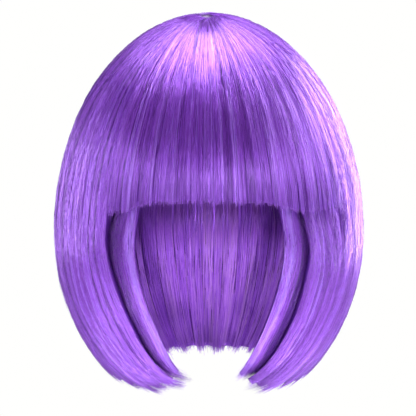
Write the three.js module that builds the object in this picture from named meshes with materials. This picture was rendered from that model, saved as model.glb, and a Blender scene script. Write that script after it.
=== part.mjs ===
// A chin-length bob wig with a blunt fringe, in millimetres, with +Z up and the face towards -Y.
// The origin is the inner top of the cap, where it rests on the crown of the head.
//
// All the hair is one flow, measured by three numbers: the azimuth (degrees round the head at the
// belly, 0 at the face and positive towards +X), the run (0 at the crown, 1 at the belly, 2 at the
// tip) and the layer (0 on the outside of the hair, 1 on its inside). Each piece of hair is a block
// of that flow, with columns across the strands and rows along them.

import * as THREE from "three";

// Outer form of the hair
const hairHalfWidth = 116.3; // half of the widest place, at the belly
const hairFrontReach = 115; // from the middle of the head forwards
const hairBackReach = 120; // from the middle of the head backwards
const hairTopHeight = 19.5; // top of the hair above the head seat
const bellyDrop = 164.5; // from the top of the hair down to the belly
const lowerSpan = 139.5; // how far below the belly the sides would close, if they went on
const backLowerSpan = 128; // the same for the back of the neck, which tucks in sooner
const hangLength = 110.5; // how far the longest locks hang below the belly
const curtainThickness = 12; // hair below the cap
const tipThinning = 0.4; // share of that thickness that is gone at the tips
const lockRelief = 1.4; // depth of the grooves between locks
const hemRaggedness = 3.5; // how much longer a lock is than the groove beside it, at the hem
const fringeRaggedness = 2.2; // the same at the cut of the fringe
const faceLockRaggedness = 4; // the same at the ends of the face locks
const clearance = 0.4; // gap between neighbouring pieces
const facetRoom = 1; // more room over the cap, whose dome is rounder than the flat faces on it

// Crown
const whorlX = -2;
const whorlY = -16;
const whorlRadius = 12;
const whorlDimple = 1.5;

// Cap
const capHalfWidth = 77.5;
const capHalfLength = 97.5;
const capDomeHeight = 105; // from its top down to its widest level
const capThickness = 1.5;
const capRimFrontDrop = 60;
const capRimBackDrop = 130;

// Edges of the pieces of hair, as azimuths at the belly in degrees
const fringeLeftEdge = -40;
const fringeRightEdge = 60;
const lockLeftInnerEdge = -30;
const lockLeftOuterEdge = -50;
const lockRightInnerEdge = 31;
const lockRightOuterEdge = 48;
const curtainRightEdge = 38;
const backEdge = 112;

const stepRoom = 0.3; // room in degrees for a piece whose edge lies in a step of another piece

// Layers of hair that lie on one another, as shares of the depth of the hair
const fringeOverCurtain = 0.3;
const curtainUnderFringe = 0.38;
const coverOverLock = 0.6;
const lockUnderCover = 0.67;

// Runs
const domeRun = 0.85; // where the hair leaves the cap and flares out
const lockRootRun = 0.5; // where the face locks start, at the temples

// The fall of the hair below the belly. Each row is a strand: its azimuth at the belly, how many
// degrees it sweeps towards the face, how far it hangs as a share of hangLength, how much its end
// curls to the level, the share of the sweep that it makes evenly on the way down, and how late the
// rest of the sweep comes, as a power: the higher, the more it is a hook at the very tip.
const curtainFall = [
  { azimuth: 0, sweep: 0, hang: 0.88, curl: 1, lean: 0.3, hook: 3 },
  { azimuth: 38, sweep: 25, hang: 0.91, curl: 1, lean: 0.3, hook: 3 },
  { azimuth: 50, sweep: 29, hang: 0.965, curl: 1, lean: 0.3, hook: 3 },
  { azimuth: 65, sweep: 29, hang: 1, curl: 0.9, lean: 0.3, hook: 3 },
  { azimuth: 80, sweep: 23, hang: 0.99, curl: 0.7, lean: 0.3, hook: 3 },
  { azimuth: 95, sweep: 13, hang: 0.94, curl: 0.4, lean: 0.4, hook: 3 },
  { azimuth: 112, sweep: 3, hang: 0.9, curl: 0.1, lean: 0.5, hook: 3 },
  { azimuth: 140, sweep: -8, hang: 0.895, curl: 0, lean: 0.6, hook: 3 },
  { azimuth: 180, sweep: 0, hang: 0.895, curl: 0, lean: 0.6, hook: 3 },
];
const lockFall = [
  { azimuth: 28, sweep: 20, hang: 0.88, curl: 0.8, lean: 0.65, hook: 10 },
  { azimuth: 34, sweep: 23, hang: 0.89, curl: 0.8, lean: 0.65, hook: 10 },
  { azimuth: 50, sweep: 31, hang: 0.88, curl: 0.8, lean: 0.65, hook: 10 },
];

// The cut of the fringe: how far below the top of the hair it ends at each azimuth, as a share of
// the way down to the belly.
const fringeCut = [
  { azimuth: -40, drop: 0.842 },
  { azimuth: -33, drop: 0.845 },
  { azimuth: -20, drop: 0.8 },
  { azimuth: 0, drop: 0.79 },
  { azimuth: 20, drop: 0.8 },
  { azimuth: 37, drop: 0.848 },
  { azimuth: 60, drop: 0.854 },
];

const radians = THREE.MathUtils.degToRad;
const { lerp, smoothstep } = THREE.MathUtils;

// Reads a table at an azimuth, going straight between its rows.
function readTable(table, azimuth) {
  let next = table.findIndex((row) => row.azimuth > azimuth);
  if (next === -1) next = table.length - 1;
  next = Math.max(next, 1);
  const from = table[next - 1];
  const to = table[next];
  const share = THREE.MathUtils.clamp((azimuth - from.azimuth) / (to.azimuth - from.azimuth), 0, 1);
  const row = {};
  for (const column of Object.keys(from)) row[column] = lerp(from[column], to[column], share);
  return row;
}

function planPoint(azimuth, shrink) {
  const angle = radians(azimuth);
  const reach = Math.cos(angle) > 0 ? hairFrontReach : hairBackReach;
  return new THREE.Vector2(
    hairHalfWidth * Math.sin(angle) * shrink,
    -reach * Math.cos(angle) * shrink,
  );
}

// How far down the outside of the hair is above the belly, over a point of the plan.
function outerHeight(x, y) {
  const reach = y < 0 ? hairFrontReach : hairBackReach;
  const share = 1 - (x / hairHalfWidth) ** 2 - (y / reach) ** 2;
  return hairTopHeight - bellyDrop + bellyDrop * Math.sqrt(Math.max(0, share));
}

const spread = (run) => Math.sin((run * Math.PI) / 2);
const whorl = new THREE.Vector2(whorlX, whorlY);
const capRoom = capThickness + clearance + facetRoom;

// Where the hair that starts at the whorl towards an azimuth crosses the inside of the hair.
function innerOval(azimuth) {
  const belly = planPoint(azimuth, 1);
  const towards = belly.clone().sub(whorl);
  const halfWidth = capHalfWidth + capRoom;
  const halfLength = capHalfLength + capRoom;
  const a = (towards.x / halfWidth) ** 2 + (towards.y / halfLength) ** 2;
  const b = (whorlX * towards.x) / halfWidth ** 2 + (whorlY * towards.y) / halfLength ** 2;
  const c = (whorlX / halfWidth) ** 2 + (whorlY / halfLength) ** 2 - 1;
  const reach = (Math.sqrt(b * b - a * c) - b) / a;
  return whorl.clone().addScaledVector(towards, reach);
}

function innerHeight(x, y) {
  const halfWidth = capHalfWidth + capRoom;
  const halfLength = capHalfLength + capRoom;
  const share = 1 - (x / halfWidth) ** 2 - (y / halfLength) ** 2;
  const height = capDomeHeight + capRoom;
  return -capDomeHeight + height * Math.sqrt(Math.max(0, share));
}

// A point below the belly, where the fall tables sweep the strand towards the face or the nape.
function fallPoint(fall, azimuth, run, tipShift) {
  const around = azimuth > 180 ? azimuth - 360 : azimuth;
  const side = around < 0 ? -1 : 1;
  const row = readTable(fall, Math.abs(around));
  const v = run - 1;
  const level = lerp(v, Math.sin((v * Math.PI) / 2), row.curl);
  const drop = bellyDrop + (row.hang * hangLength + tipShift) * level;
  const turn = row.sweep * (row.lean * level ** 1.5 + (1 - row.lean) * v ** row.hook);
  const swept = side * (Math.abs(around) - turn);
  const span = lerp(lowerSpan, backLowerSpan, smoothstep(Math.abs(swept), 90, 180));
  const shrink = Math.sqrt(1 - ((drop - bellyDrop) / span) ** 2);
  const plan = planPoint(swept, shrink);
  return new THREE.Vector3(plan.x, plan.y, hairTopHeight - drop);
}

// The inside of the curtain at and below the belly. At the belly its thickness is measured
// towards the whorl and at the tips towards the middle of the head, and the tips are thinner.
function fallInside(fall, azimuth, run, tipShift) {
  const point = fallPoint(fall, azimuth, run, tipShift);
  const v = run - 1;
  const inwards = new THREE.Vector2(whorlX * (1 - v) - point.x, whorlY * (1 - v) - point.y);
  inwards.setLength(curtainThickness * (1 - tipThinning * v * v));
  return point.setX(point.x + inwards.x).setY(point.y + inwards.y);
}

function outerPoint(fall, azimuth, run, tipShift) {
  if (run > 1) return fallPoint(fall, azimuth, run, tipShift);
  const plan = whorl.clone().lerp(planPoint(azimuth, 1), spread(run));
  return new THREE.Vector3(plan.x, plan.y, outerHeight(plan.x, plan.y));
}

function innerPoint(fall, azimuth, run, tipShift) {
  if (run > 1) return fallInside(fall, azimuth, run, tipShift);
  const oval = innerOval(azimuth);
  if (run <= domeRun) {
    const plan = whorl.clone().lerp(oval, spread(run) / spread(domeRun));
    return new THREE.Vector3(plan.x, plan.y, innerHeight(plan.x, plan.y));
  }
  const belly = fallInside(fall, azimuth, 1, tipShift);
  const share = (run - domeRun) / (1 - domeRun);
  const flare = oval.lerp(new THREE.Vector2(belly.x, belly.y), smoothstep(share, 0, 1));
  return new THREE.Vector3(flare.x, flare.y, lerp(-capDomeHeight, belly.z, share));
}

// A point of the hair: layer is a share of its depth, inwards is a distance in from that layer.
function hairPoint(fall, azimuth, { run, layer, inwards = 0 }, tipShift = 0) {
  const outer = outerPoint(fall, azimuth, run, tipShift);
  const inner = innerPoint(fall, azimuth, run, tipShift);
  return outer.lerp(inner, layer + inwards / outer.distanceTo(inner));
}

// The azimuth that lies a distance beside a strand, worked out on the inside of the hair.
function besideAzimuth(fall, azimuth, run, distance) {
  const step = 0.5;
  const a = innerPoint(fall, azimuth - step, run, 0);
  const b = innerPoint(fall, azimuth + step, run, 0);
  return azimuth + (distance * 2 * step) / a.distanceTo(b);
}

// The run at which the outside of the hair has come down to a drop above the belly.
function runAtDrop(azimuth, drop) {
  let low = 0;
  let high = 1;
  for (let i = 0; i < 24; i++) {
    const middle = (low + high) / 2;
    if (hairTopHeight - outerPoint(curtainFall, azimuth, middle, 0).z < drop) low = middle;
    else high = middle;
  }
  return low;
}

// The run at which the fringe ends.
function fringeEnd(azimuth, tipShift) {
  return runAtDrop(azimuth, readTable(fringeCut, azimuth).drop * bellyDrop + tipShift);
}

function crownRun(azimuth, radius) {
  const length = planPoint(azimuth, 1).distanceTo(whorl);
  return (Math.asin(radius / length) * 2) / Math.PI;
}

// Locks of a piece: a wave across the azimuths, 1 on the ridge of a lock and 0 in the groove.
function lockWave(share, locks) {
  return 0.5 - 0.5 * Math.cos(share * locks * 2 * Math.PI);
}

// A small steady difference between one lock and the next.
function lockLength(share, locks, seed) {
  return Math.sin((Math.floor(share * locks) + seed) * 2.4);
}

// A closed block of columns and rows, each of whose points is then put in its place.
function placedBlock(columns, rows, place) {
  const block = new THREE.BoxGeometry(columns, rows, 1, columns, rows, 1);
  const positions = block.getAttribute("position");
  for (let i = 0; i < positions.count; i++) {
    const column = Math.round(positions.getX(i) + columns / 2);
    const row = Math.round(rows / 2 - positions.getY(i));
    const point = place(column, row, positions.getZ(i) > 0);
    positions.setXYZ(i, point.x, point.y, point.z);
  }
  block.computeVertexNormals();
  return block;
}

// One piece of hair, a block of columns across the strands and rows along them. Its strips lie side
// by side, each with its own paths down the outside and the inside, and the piece keeps half of
// the clearance from the strands at its two edges.
function hairPiece({ fall, strips, locks, ragged, seed }) {
  const first = strips[0].from;
  const last = strips[strips.length - 1].to;
  const stripStep = 0.15;
  const slices = [];
  strips.forEach((strip, index) => {
    const from = strip.from + (index > 0 ? stripStep : 0);
    const to = strip.to - (index < strips.length - 1 ? stripStep : 0);
    for (let i = 0; i <= strip.columns; i++) {
      const azimuth = lerp(from, to, i / strip.columns);
      const share = (azimuth - first) / (last - first);
      const wave = lockWave(share, locks);
      const tipShift = ragged * (wave - 0.5 + 0.35 * lockLength(share, locks, seed));
      let aside = 0;
      if (index === 0 && i === 0) aside = clearance / 2;
      if (index === strips.length - 1 && i === strip.columns) aside = -clearance / 2;
      const place = ({ run, layer, relief = 0 }) =>
        hairPoint(
          fall,
          besideAzimuth(fall, azimuth, run, aside),
          { run, layer, inwards: relief * lockRelief * (1 - wave) * Math.min(1, 2 * run) },
          tipShift,
        );
      slices.push({
        outside: strip.outside(azimuth, tipShift).map(place),
        inside: strip.inside(azimuth, tipShift).map(place),
      });
    }
  });
  const rows = slices[0].outside.length - 1;
  return placedBlock(slices.length - 1, rows, (column, row, outside) =>
    outside ? slices[column].outside[row] : slices[column].inside[row],
  );
}

// Runs of the curtains and the back, from the crown to the tips
const outerRuns = [0.12, 0.25, 0.38, 0.5, 0.62, 0.74, 0.85, 0.94, 1.04, 1.2, 1.36, 1.52, 1.68, 1.84, 2];
const domeRuns = [0.2, 0.34, 0.47, 0.6, 0.7, 0.79, domeRun];
const fallRuns = [1, 1.18, 1.35, 1.52, 1.7, 1.85, 2];
const rootRuns = [0.22, 0.36, lockRootRun - 0.01];
const coverRuns = [0.62, 0.72, 0.82, 0.92];
const tipLayer = 0.3; // the ends thin out to this share of the hair's depth

const crown = (azimuth) => crownRun(azimuth, whorlRadius);

// The grooves run out towards the tips, where the hair is thin.
const outerRelief = (run) => 1 - 0.6 * Math.max(0, run - 1) ** 2;
const innerRelief = (run) => (run > domeRun ? 0.7 * (Math.max(0, run - 1) ** 2 - 1) : 0);

const openOutside = (azimuth) =>
  [crown(azimuth), ...outerRuns].map((run) => ({ run, layer: 0, relief: outerRelief(run) }));

// Under the fringe the curtain keeps below it, and comes to the surface past the fringe's cut.
const coveredOutside = (azimuth) => {
  const cut = fringeEnd(azimuth, 0);
  return [crown(azimuth), ...outerRuns].map((run) => ({
    run,
    layer: curtainUnderFringe * (1 - smoothstep(run, cut + 0.05, cut + 0.3)),
    relief: outerRelief(run),
  }));
};

const thinning = (run, layer) => (run > 1 ? lerp(layer, tipLayer, (run - 1) ** 2) : layer);

const insideToCap = (azimuth) =>
  [crown(azimuth), ...domeRuns, 0.925, ...fallRuns].map((run) => ({
    run,
    layer: thinning(run, 1),
    relief: innerRelief(run),
  }));

const insideOverLock = (azimuth) => [
  ...[crown(azimuth), ...rootRuns].map((run) => ({ run, layer: 1 })),
  ...[lockRootRun, ...coverRuns, ...fallRuns].map((run) => ({
    run,
    layer: thinning(run, coverOverLock),
  })),
];

// Paths of the fringe, whose runs are shares of the way to its cut
const fringeShares = [0.1, 0.21, 0.32, 0.43, 0.54, 0.65, 0.75, 0.84, 0.92, 1];
const fringeEdgeLayer = 0.45;

const fringeOutside = (azimuth, tipShift) => [
  { run: crown(azimuth), layer: 0, relief: 1 },
  ...fringeShares.map((share) => ({
    run: share * fringeEnd(azimuth, tipShift),
    layer: 0,
    relief: 1,
  })),
];

const fringeToCap = (azimuth, tipShift) => {
  const end = fringeEnd(azimuth, tipShift);
  return [
    { run: crown(azimuth), layer: 1 },
    ...[0.13, 0.22, 0.33, 0.43, 0.53, 0.63, 0.73, 0.82].map((share) => ({
      run: share * end,
      layer: 1,
    })),
    { run: 0.9 * end, layer: 0.62 },
    { run: end, layer: fringeEdgeLayer },
  ];
};

const fringeOverLock = (azimuth, tipShift) => [
  { run: crown(azimuth), layer: 1 },
  { run: 0.12, layer: 1 },
  ...rootRuns.map((run) => ({ run, layer: 1 })),
  ...[lockRootRun, 0.62, 0.72, 0.82].map((run) => ({ run, layer: coverOverLock })),
  { run: 0.88, layer: 0.52 },
  { run: fringeEnd(azimuth, tipShift), layer: fringeEdgeLayer },
];

const fringeOverCurtainInside = (azimuth, tipShift) => [
  { run: crown(azimuth), layer: fringeOverCurtain },
  ...fringeShares.map((share) => ({
    run: share * fringeEnd(azimuth, tipShift),
    layer: fringeOverCurtain,
  })),
];

// Paths of the face locks, with closer rows where their tips hook round
const lockRoot = lockRootRun + 0.01;
const lockFallRuns = [1, 1.18, 1.35, 1.52, 1.7, 1.84, 1.93, 2];
const lockOutside = () =>
  [lockRoot, ...coverRuns, ...lockFallRuns].map((run) => ({
    run,
    layer: lockUnderCover,
    relief: 0.7 * outerRelief(run),
  }));
const lockInside = () =>
  [lockRoot, 0.6, 0.7, 0.78, domeRun, ...lockFallRuns].map((run) => ({
    run,
    layer: run > 1 ? lerp(1, 0.9, (run - 1) ** 2) : 1,
  }));

const curtainLeft = hairPiece({
  fall: curtainFall,
  locks: 8,
  ragged: hemRaggedness,
  seed: 1,
  strips: [
    { from: -backEdge, to: lockLeftOuterEdge, columns: 26, outside: openOutside, inside: insideToCap },
    {
      from: lockLeftOuterEdge,
      to: fringeLeftEdge,
      columns: 6,
      outside: openOutside,
      inside: insideOverLock,
    },
  ],
});

const curtainRight = hairPiece({
  fall: curtainFall,
  locks: 8,
  ragged: hemRaggedness,
  seed: 4,
  strips: [
    {
      from: curtainRightEdge + stepRoom,
      to: lockRightOuterEdge,
      columns: 5,
      outside: coveredOutside,
      inside: insideOverLock,
    },
    {
      from: lockRightOuterEdge,
      to: fringeRightEdge,
      columns: 6,
      outside: coveredOutside,
      inside: insideToCap,
    },
    { from: fringeRightEdge, to: backEdge, columns: 21, outside: openOutside, inside: insideToCap },
  ],
});

const backHair = hairPiece({
  fall: curtainFall,
  locks: 10,
  ragged: hemRaggedness,
  seed: 2,
  strips: [
    {
      from: backEdge + stepRoom,
      to: 360 - backEdge - stepRoom,
      columns: 40,
      outside: openOutside,
      inside: insideToCap,
    },
  ],
});

const fringe = hairPiece({
  fall: curtainFall,
  locks: 13,
  ragged: fringeRaggedness,
  seed: 3,
  strips: [
    {
      from: fringeLeftEdge,
      to: lockLeftInnerEdge,
      columns: 4,
      outside: fringeOutside,
      inside: fringeOverLock,
    },
    {
      from: lockLeftInnerEdge,
      to: lockRightInnerEdge,
      columns: 32,
      outside: fringeOutside,
      inside: fringeToCap,
    },
    {
      from: lockRightInnerEdge,
      to: curtainRightEdge,
      columns: 4,
      outside: fringeOutside,
      inside: fringeOverLock,
    },
    {
      from: curtainRightEdge,
      to: fringeRightEdge - stepRoom,
      columns: 12,
      outside: fringeOutside,
      inside: fringeOverCurtainInside,
    },
  ],
});

const faceLock = (from, to, seed) =>
  hairPiece({
    fall: lockFall,
    locks: 3,
    ragged: faceLockRaggedness,
    seed,
    strips: [
      {
        from: from + stepRoom,
        to: to - stepRoom,
        columns: 12,
        outside: lockOutside,
        inside: lockInside,
      },
    ],
  });

// A closed round piece: a lathe turned from a profile of shares and depths, each of whose points is
// then put in its place, so that the round can be an oval with a slanted rim.
function placedLathe(profile, segments, place) {
  const lathe = new THREE.LatheGeometry(
    profile.map(({ share, depth }) => new THREE.Vector2(share, depth)),
    segments,
  );
  const positions = lathe.getAttribute("position");
  const point = new THREE.Vector3();
  for (let i = 0; i < positions.count; i++) {
    point.fromBufferAttribute(positions, i);
    const share = Math.hypot(point.x, point.z);
    const azimuth = share > 1e-6 ? THREE.MathUtils.radToDeg(Math.atan2(point.x, point.z)) : 0;
    point.copy(place(azimuth, share, point.y));
    positions.setXYZ(i, point.x, point.y, point.z);
  }
  lathe.computeVertexNormals();
  return lathe;
}

// The rosette at the crown fills the round that the strands leave free, with a dimple on top.
// Its depths are layers of the hair, 1 against the cap and 0 on the outside.
function whorlGeometry() {
  const radius = whorlRadius - 1.5 * clearance;
  const profile = [
    { share: 0, depth: 1 },
    { share: 0.5, depth: 1 },
    { share: 1, depth: 1 },
    { share: 1, depth: 0 },
    { share: 0.6, depth: 0 },
    { share: 0.25, depth: 0 },
    { share: 0, depth: 0 },
  ];
  return placedLathe(profile, 24, (azimuth, share, layer) => {
    const run = crownRun(azimuth, radius * share);
    const inwards = whorlDimple * (1 - share) ** 2 * (1 - layer);
    return hairPoint(curtainFall, azimuth, { run, layer, inwards });
  });
}

// The net cap, a dome whose rim slants down to the back. Its depths are millimetres of thickness.
function capGeometry() {
  const rings = 7;
  const shares = Array.from({ length: rings }, (_, i) => i / (rings - 1));
  const profile = [
    ...shares.map((share) => ({ share, depth: 0 })),
    ...shares.reverse().map((share) => ({ share, depth: capThickness })),
  ];
  return placedLathe(profile, 32, (azimuth, share, thickness) => {
    const turn = radians(azimuth);
    const rimDrop = lerp(capRimFrontDrop, capRimBackDrop, 0.5 - 0.5 * Math.cos(turn));
    const fall = share * Math.acos(1 - rimDrop / capDomeHeight);
    return new THREE.Vector3(
      (capHalfWidth + thickness) * Math.sin(fall) * Math.sin(turn),
      -(capHalfLength + thickness) * Math.sin(fall) * Math.cos(turn),
      (capDomeHeight + thickness) * Math.cos(fall) - capDomeHeight,
    );
  });
}

const hairColour = 0x8a4fd8;
const hairShadowColour = 0x5a2a9a;
const netColour = 0x2c1745;

function part(name, geometry, color, roughness) {
  const material = new THREE.MeshStandardMaterial({ color, roughness, metalness: 0 });
  const mesh = new THREE.Mesh(geometry, material);
  mesh.name = name;
  return mesh;
}

const wig = new THREE.Group();
wig.add(
  part("cap", capGeometry(), netColour, 0.9),
  part("crown_whorl", whorlGeometry(), hairShadowColour, 0.45),
  part("fringe", fringe, hairColour, 0.35),
  part("side_left", curtainLeft, hairColour, 0.35),
  part("side_right", curtainRight, hairColour, 0.35),
  part("face_lock_left", faceLock(lockLeftOuterEdge, lockLeftInnerEdge, 5), hairColour, 0.35),
  part("face_lock_right", faceLock(lockRightInnerEdge, lockRightOuterEdge, 6), hairColour, 0.35),
  part("back_hair", backHair, hairShadowColour, 0.4),
);

export default wig;
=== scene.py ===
# %% [markdown]
# # A bob wig with a blunt fringe
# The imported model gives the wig's true sizes: a net cap, a rosette at the crown, a fringe, two
# side curtains, two face locks and the back. Those solids are plain walls. This lesson dresses
# each wall in fibres, in the same frame, and lights it like a product photograph on white.

# %% Load the frame
import math
import bmesh
import bpy
import numpy as np
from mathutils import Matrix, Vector


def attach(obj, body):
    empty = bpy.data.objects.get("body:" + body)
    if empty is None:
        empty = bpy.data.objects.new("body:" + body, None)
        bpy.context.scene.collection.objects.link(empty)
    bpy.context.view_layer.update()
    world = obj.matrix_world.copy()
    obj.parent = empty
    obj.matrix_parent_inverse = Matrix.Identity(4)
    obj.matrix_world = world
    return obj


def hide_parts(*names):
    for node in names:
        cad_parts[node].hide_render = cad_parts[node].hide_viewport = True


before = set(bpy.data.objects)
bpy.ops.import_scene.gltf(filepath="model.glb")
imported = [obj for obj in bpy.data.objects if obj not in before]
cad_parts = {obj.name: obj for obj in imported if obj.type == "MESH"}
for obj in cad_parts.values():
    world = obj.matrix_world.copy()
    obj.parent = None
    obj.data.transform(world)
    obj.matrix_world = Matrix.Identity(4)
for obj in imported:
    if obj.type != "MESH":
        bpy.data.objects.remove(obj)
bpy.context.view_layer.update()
scene = bpy.context.scene

# %% [markdown]
# ## The camera
# The wig fills most of the picture and both of its sides show alike, so the camera looks straight
# at the face, from a little above. A long lens keeps the near tips from growing. The lens is
# worked out from the distance and from the width of the picture at the middle of the head.

# %% The camera
CAMERA_RISE = math.radians(6.0)
CAMERA_DISTANCE = 1.65
PICTURE_WIDTH = 0.312
AIM = Vector((-0.0006, 0.0, -0.127))
camera_data = bpy.data.cameras.new("camera")
camera_data.sensor_width = 36.0
camera_data.lens = camera_data.sensor_width * CAMERA_DISTANCE / PICTURE_WIDTH
camera = bpy.data.objects.new("camera", camera_data)
scene.collection.objects.link(camera)
towards_camera = Vector((0, -math.cos(CAMERA_RISE), math.sin(CAMERA_RISE)))
camera.location = AIM + CAMERA_DISTANCE * towards_camera
camera.rotation_mode = "QUATERNION"
camera.rotation_quaternion = (-towards_camera).to_track_quat("-Z", "Y")
camera_data.clip_end = 50
scene.camera = camera
print("lens", round(camera_data.lens, 1), "mm")

# %% [markdown]
# ## The sizes of the hair
# The walls follow one flow: an azimuth round the head, a run from the crown (0) past the belly (1)
# to the tip (2), and a layer from the outside (0) to the inside (1). The same named sizes and
# short tables, in millimetres and degrees, let every fibre lie in the wall that it belongs to.

# %% Sizes
HALF_WIDTH, FRONT_REACH, BACK_REACH = 116.3, 115.0, 120.0
TOP_HEIGHT, BELLY_DROP = 19.5, 164.5
SIDE_SPAN, BACK_SPAN = 139.5, 128.0
CURTAIN_THICKNESS, TIP_THINNING, LOCK_RELIEF = 12.0, 0.4, 1.4
WHORL = np.array([-2.0, -16.0])
WHORL_RADIUS = 12.0
CAP_HALF_WIDTH, CAP_HALF_LENGTH, CAP_DOME, CAP_ROOM = 77.5, 97.5, 105.0, 2.9
DOME_RUN, LOCK_ROOT = 0.85, 0.5
FRINGE_EDGES, CURTAIN_RIGHT_EDGE, BACK_EDGE = (-40.0, 60.0), 38.0, 112.0
LOCK_LEFT_EDGES, LOCK_RIGHT_EDGES = (-50.0, -30.0), (31.0, 48.0)
HANG = 110.5
CURTAIN_FALL = {
    "azimuth": [0, 38, 50, 65, 80, 95, 112, 140, 180],
    "sweep": [0, 25, 29, 29, 23, 13, 3, -8, 0],
    "hang": [0.88, 0.91, 0.965, 1, 0.99, 0.94, 0.9, 0.895, 0.895],
    "curl": [1, 1, 1, 0.9, 0.7, 0.4, 0.1, 0, 0],
    "lean": [0.3, 0.3, 0.3, 0.3, 0.3, 0.4, 0.5, 0.6, 0.6],
    "hook": [3, 3, 3, 3, 3, 3, 3, 3, 3],
}
LOCK_FALL = {
    "azimuth": [28, 34, 50],
    "sweep": [20, 23, 31],
    "hang": [0.88, 0.89, 0.88],
    "curl": [0.8, 0.8, 0.8],
    "lean": [0.65, 0.65, 0.65],
    "hook": [10, 10, 10],
}
FRINGE_CUT = {
    "azimuth": [-40, -33, -20, 0, 20, 37, 60],
    "drop": [0.842, 0.845, 0.8, 0.79, 0.8, 0.848, 0.854],
}

# %% [markdown]
# ## The flow
# Above the belly a fibre runs straight away from the whorl, seen from above, and its height
# follows an egg. Below the belly it sweeps towards the face or the nape as its row says. The
# inside follows the cap, and then flares out to a curtain of even thickness.

# %% The outside of the hair
def read_table(table, column, azimuth):
    return np.interp(azimuth, table["azimuth"], table[column])


def smooth_step(value, low, high):
    share = np.clip((value - low) / (high - low), 0, 1)
    return share * share * (3 - 2 * share)


def plan_point(azimuth, shrink=1.0):
    angle = np.radians(azimuth)
    reach = np.where(np.cos(angle) > 0, FRONT_REACH, BACK_REACH)
    return np.stack([HALF_WIDTH * np.sin(angle) * shrink, -reach * np.cos(angle) * shrink], -1)


def fall_point(fall, azimuth, run, tip_shift):
    around = np.where(azimuth > 180, azimuth - 360, azimuth)
    size = np.abs(around)
    v = np.clip(run - 1, 0, 1.05)
    curl, lean = read_table(fall, "curl", size), read_table(fall, "lean", size)
    level = v + (np.sin(np.minimum(v, 1) * math.pi / 2) - v) * curl
    drop = BELLY_DROP + (read_table(fall, "hang", size) * HANG + tip_shift) * level
    late = v ** read_table(fall, "hook", size)
    turn = read_table(fall, "sweep", size) * (lean * level**1.5 + (1 - lean) * late)
    swept = np.sign(around) * (size - turn)
    span = SIDE_SPAN + (BACK_SPAN - SIDE_SPAN) * smooth_step(np.abs(swept), 90, 180)
    shrink = np.sqrt(np.maximum(0.05, 1 - ((drop - BELLY_DROP) / span) ** 2))
    return np.concatenate([plan_point(swept, shrink), (TOP_HEIGHT - drop)[..., None]], -1)


def outer_point(fall, azimuth, run, tip_shift):
    spread = np.sin(np.clip(run, 0, 1) * math.pi / 2)[..., None]
    plan = WHORL + (plan_point(azimuth) - WHORL) * spread
    reach = np.where(plan[..., 1] < 0, FRONT_REACH, BACK_REACH)
    share = 1 - (plan[..., 0] / HALF_WIDTH) ** 2 - (plan[..., 1] / reach) ** 2
    height = TOP_HEIGHT - BELLY_DROP + BELLY_DROP * np.sqrt(np.maximum(0, share))
    upper = np.concatenate([plan, height[..., None]], -1)
    return np.where((run > 1)[..., None], fall_point(fall, azimuth, run, tip_shift), upper)


belly = outer_point(CURTAIN_FALL, *np.broadcast_arrays([90.0], 1.0, 0.0))
print("the belly at the side, in mm", belly.round(1))

# %% The inside of the hair
CAP_OVAL = np.array([CAP_HALF_WIDTH + CAP_ROOM, CAP_HALF_LENGTH + CAP_ROOM])


def inner_oval(azimuth):
    """Where a line from the whorl meets the oval round the cap, at its widest level."""
    towards = plan_point(azimuth) - WHORL
    a = ((towards / CAP_OVAL) ** 2).sum(-1)
    b = (WHORL * towards / CAP_OVAL**2).sum(-1)
    c = ((WHORL / CAP_OVAL) ** 2).sum() - 1
    return WHORL + towards * ((np.sqrt(b * b - a * c) - b) / a)[..., None]


def fall_inside(fall, azimuth, run, tip_shift):
    point = fall_point(fall, azimuth, run, tip_shift)
    v = np.clip(run - 1, 0, 1)[..., None]
    inwards = WHORL * (1 - v) - point[..., :2]
    inwards = inwards / np.linalg.norm(inwards, axis=-1, keepdims=True)
    plan = point[..., :2] + inwards * CURTAIN_THICKNESS * (1 - TIP_THINNING * v * v)
    return np.concatenate([plan, point[..., 2:]], -1)


def inner_point(fall, azimuth, run, tip_shift):
    oval = inner_oval(azimuth)
    spread = np.sin(np.clip(run, 0, DOME_RUN) * math.pi / 2) / math.sin(DOME_RUN * math.pi / 2)
    plan = WHORL + (oval - WHORL) * spread[..., None]
    share = np.maximum(0, 1 - ((plan / CAP_OVAL) ** 2).sum(-1))
    height = -CAP_DOME + (CAP_DOME + CAP_ROOM) * np.sqrt(share)
    dome = np.concatenate([plan, height[..., None]], -1)
    belly = fall_inside(fall, azimuth, np.ones_like(run), tip_shift)
    flare = np.clip((run - DOME_RUN) / (1 - DOME_RUN), 0, 1)[..., None]
    ease = smooth_step(flare, 0, 1)
    plan = oval + (belly[..., :2] - oval) * ease
    flared = np.concatenate([plan, -CAP_DOME + (belly[..., 2:] + CAP_DOME) * flare], -1)
    upper = np.where((run > DOME_RUN)[..., None], flared, dome)
    return np.where((run > 1)[..., None], fall_inside(fall, azimuth, run, tip_shift), upper)


def hair_point(fall, azimuth, run, layer, inwards=0.0, tip_shift=0.0):
    """Points of the hair in millimetres; inwards is a distance in from the layer."""
    azimuth, run, layer, inwards, tip_shift = np.broadcast_arrays(
        azimuth, run, layer, inwards, tip_shift
    )
    outer = outer_point(fall, azimuth, run, tip_shift)
    inner = inner_point(fall, azimuth, run, tip_shift)
    depth = np.linalg.norm(outer - inner, axis=-1)
    return outer + (inner - outer) * (layer + inwards / depth)[..., None]


def run_at_drop(azimuth, drop):
    """The run at which the outside of the hair has come down to a drop above the belly."""
    runs = np.linspace(0, 1, 201)
    height = outer_point(CURTAIN_FALL, *np.broadcast_arrays(azimuth[..., None], runs, 0.0))[..., 2]
    below = (TOP_HEIGHT - height) >= drop[..., None]
    return runs[np.argmax(below, -1)]


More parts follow.
